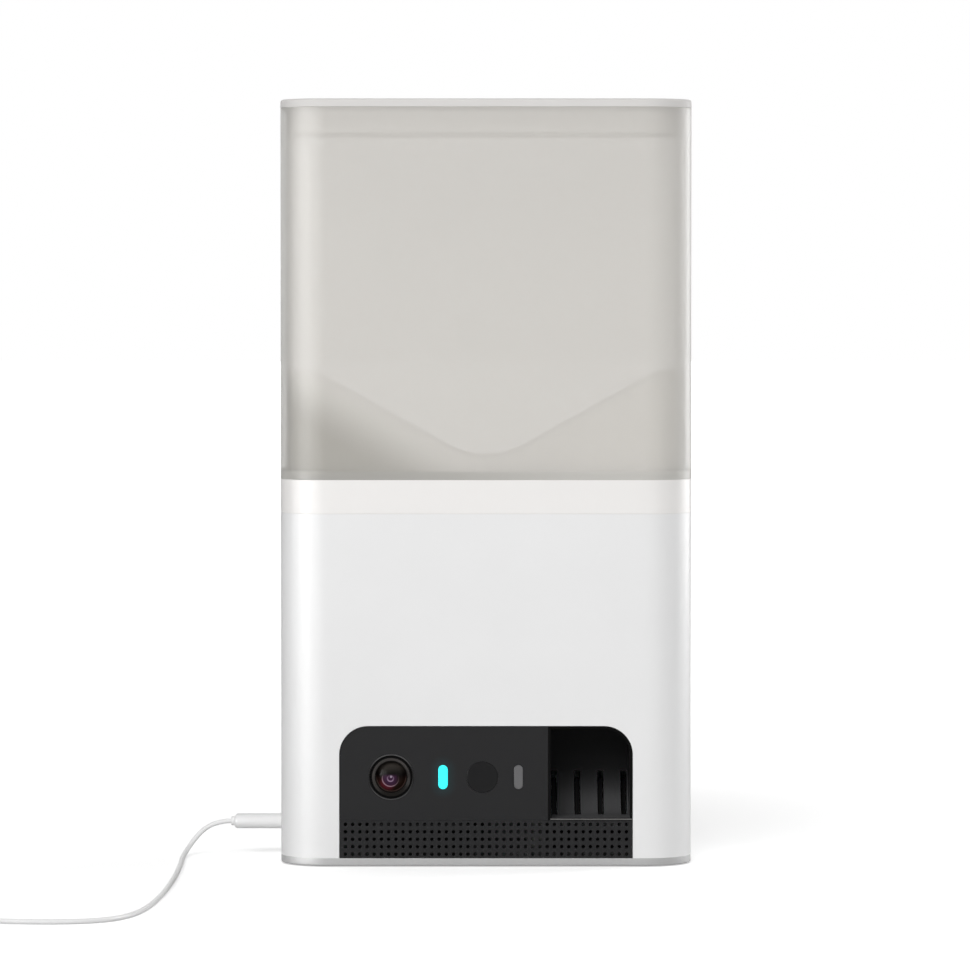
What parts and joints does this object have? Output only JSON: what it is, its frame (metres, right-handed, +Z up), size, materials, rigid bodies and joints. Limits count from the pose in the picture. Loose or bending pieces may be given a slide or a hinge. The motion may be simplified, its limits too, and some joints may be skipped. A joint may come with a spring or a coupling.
{
  "type": "treat tossing pet camera",
  "caption": "Free-standing treat tossing pet camera: slim rounded tower with camera and treat window panel, speaker grille, smoky lift-off container, lid and cord.",
  "frame": {"origin": "middle of the base at the level the rubber feet stand on", "axes": "+Z up, the camera panel faces -Y, +X to the right of someone who faces the camera panel"},
  "size_m": [0.2769, 0.2508, 0.2695],
  "materials": {
    "white_casing": "satin moulded",
    "warm_collar": "satin moulded",
    "grey_base": "satin moulded",
    "smoke_container": "smoky translucent",
    "hopper_grey": "satin moulded",
    "lid_grey": "satin",
    "black_panel": "fine matt",
    "black_plastic": "matt",
    "black_gloss": "gloss",
    "lens_glass": "coated",
    "dark_window": "dark tinted",
    "status_light": "lit",
    "sensor_light": "satin",
    "circuit_board": "solder mask",
    "steel": "plain",
    "foot_rubber": "matt",
    "wheel_plastic": "satin moulded",
    "gear_plastic": "satin moulded",
    "cord_white": "soft satin",
    "tie_grey": "soft satin"
  },
  "bodies": {
    "casing": {"base_plate": "grey_base", "base_screws": "steel", "board_chips": "black_plastic", "camera_board": "circuit_board", "cord_coil": "cord_white", "cord_tail": "cord_white", "cord_tie": "tie_grey", "docking_collar": "warm_collar", "drop_chute": "black_plastic", "exit_chute": "black_plastic", "front_lens": "lens_glass", "front_panel": "black_panel", "hopper_deck": "white_casing", "indicator_board": "circuit_board", "infrared_emitter": "dark_window", "lens_barrel": "black_gloss", "lens_bezel": "black_gloss", "lower_shell": "white_casing", "main_board": "circuit_board", "metering_floor": "white_casing", "motor_bracket": "steel", "night_vision_window": "dark_window", "plug_tip": "steel", "power_cord": "cord_white", "power_plug": "cord_white", "power_socket": "steel", "reset_switch": "black_plastic", "rubber_feet": "foot_rubber", "sensor_light_pipe": "sensor_light", "speaker_cone": "black_plastic", "speaker_frame": "black_plastic", "speaker_grille": "black_panel", "speaker_magnet": "steel", "status_light_pipe": "status_light", "strain_relief": "cord_white", "toss_motor": "steel", "usb_grip": "cord_white", "usb_shell": "steel", "wheel_axle": "steel", "wheel_motor": "steel"},
    "container": {"treat_container": "smoke_container", "hopper_floor": "hopper_grey", "container_seal": "foot_rubber"},
    "lid": {"lid_cover": "lid_grey", "lid_gasket": "foot_rubber"},
    "wheel": {"treat_wheel": "wheel_plastic"},
    "pinion": {"wheel_pinion": "gear_plastic"},
    "fork": {"toss_fork": "black_plastic", "toss_axle": "steel", "toss_sector": "gear_plastic"},
    "toss_gear": {"toss_pinion": "gear_plastic"},
    "button": {"reset_button": "grey_base"}
  },
  "joints": [
    {"name": "container_lift", "type": "slide", "parent": "casing", "child": "container", "axis": [0, 0, 1], "range_m": [0, 0.045]},
    {"name": "lid_lift", "type": "slide", "parent": "container", "child": "lid", "axis": [0, 0, 1], "range_m": [0, 0.03]},
    {"name": "wheel_spin", "type": "hinge", "parent": "casing", "child": "wheel", "pos_m": [0.0175, 0, 0.115], "axis": [0, 0, 1], "continuous": true},
    {"name": "wheel_pinion_spin", "type": "hinge", "parent": "casing", "child": "pinion", "pos_m": [-0.0205, 0, 0.1085], "axis": [0, 0, 1], "continuous": true},
    {"name": "fork_swing", "type": "hinge", "parent": "casing", "child": "fork", "pos_m": [0.0366, -0.016, 0.008], "axis": [1, 0, 0], "range_deg": [0, 55]},
    {"name": "toss_pinion_spin", "type": "hinge", "parent": "casing", "child": "toss_gear", "pos_m": [0.018, -0.0065, 0.02445], "axis": [1, 0, 0], "range_deg": [-155, 1]},
    {"name": "reset_press", "type": "slide", "parent": "casing", "child": "button", "axis": [0, -1, 0], "range_m": [0, 0.0009], "stiffness_N_per_m": 400}
  ],
  "couplings": [
    {"joint": "wheel_pinion_spin", "follows": "wheel_spin", "ratio": -5.3333},
    {"joint": "toss_pinion_spin", "follows": "fork_swing", "ratio": -2.8}
  ]
}
